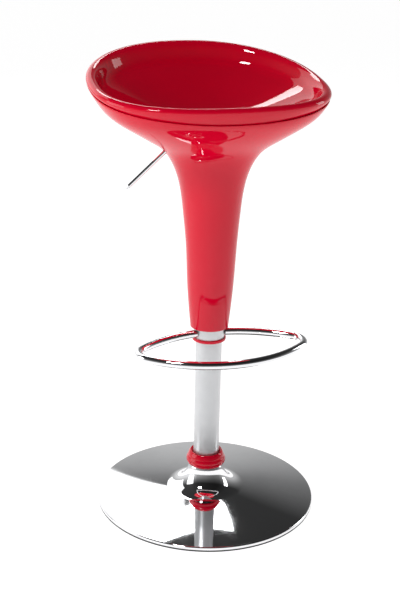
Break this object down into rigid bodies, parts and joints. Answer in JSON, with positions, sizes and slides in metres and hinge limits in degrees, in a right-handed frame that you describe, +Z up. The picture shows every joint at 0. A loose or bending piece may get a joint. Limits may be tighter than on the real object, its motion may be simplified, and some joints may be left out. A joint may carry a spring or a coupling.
{
  "type": "adjustable swivel stool",
  "caption": "Bar stool with a moulded bucket seat flaring from a tapered stem, a gas-lift column, a ring footrest, a release lever and a round trumpet base.",
  "frame": {"origin": "on the floor, on the swivel axis at the centre of the round base", "axes": "+Z up along the swivel axis, -Y towards the front of the seat, -X towards the release lever"},
  "size_m": [0.4374, 0.4646, 0.865],
  "materials": {
    "red_gloss": "high gloss moulded ABS",
    "chrome": "polished chrome plate",
    "satin_silver": "satin silver lacquer on steel tube",
    "black_rubber": "matt moulded rubber",
    "bare_steel": "mill finish steel",
    "cast_iron": "rough cast, dark primer",
    "zinc_steel": "bright zinc plate",
    "ground_steel": "ground and polished steel",
    "brass_cage": "pressed brass",
    "aluminium": "turned aluminium",
    "white_nylon": "natural nylon",
    "black_painted": "semi-gloss black paint"
  },
  "bodies": {
    "base": {"base_shell": "chrome", "floor_ring": "black_rubber", "base_plate": "bare_steel", "ballast_disc": "cast_iron", "column_flange": "bare_steel", "flange_bolts": "zinc_steel", "column_tube": "satin_silver", "column_end_plate": "bare_steel", "base_collar": "red_gloss", "column_guide": "white_nylon", "bearing_lower_race": "ground_steel", "bearing_balls": "ground_steel", "bearing_cage": "brass_cage"},
    "swivel": {"piston_rod": "ground_steel", "piston": "aluminium", "piston_seal": "black_rubber", "bearing_upper_race": "ground_steel", "rod_clip": "zinc_steel", "bump_stop": "black_rubber"},
    "seat": {"gas_cylinder": "black_painted", "rod_guide": "white_nylon", "valve_block": "aluminium", "taper_socket": "bare_steel", "seat_plate": "black_painted", "seat_screws": "zinc_steel", "lever_bracket": "zinc_steel", "lever_pivot_pin": "zinc_steel", "stem_sleeve": "satin_silver", "footrest_ring": "chrome", "guide_bush": "red_gloss", "stem_shell": "red_gloss", "seat_pan": "red_gloss"},
    "lever": {"release_lever": "chrome"},
    "valve": {"valve_pin": "ground_steel"}
  },
  "joints": [
    {"name": "seat_swivel", "type": "hinge", "parent": "base", "child": "swivel", "pos_m": [0, 0, 0.044], "axis": [0, 0, 1], "continuous": true},
    {"name": "seat_height", "type": "slide", "parent": "swivel", "child": "seat", "axis": [0, 0, 1], "range_m": [-0.21, 0]},
    {"name": "lever_tilt", "type": "hinge", "parent": "seat", "child": "lever", "pos_m": [-0.035, 0, 0.733], "axis": [0, 1, 0], "range_deg": [0, 5], "stiffness_Nm_per_rad": 12, "springref_deg": -2.86},
    {"name": "valve_press", "type": "slide", "parent": "seat", "child": "valve", "axis": [0, 0, 1], "range_m": [-0.0032, 0]}
  ],
  "couplings": [
    {"joint": "valve_press", "follows": "lever_tilt", "m_per_rad": -0.035}
  ]
}
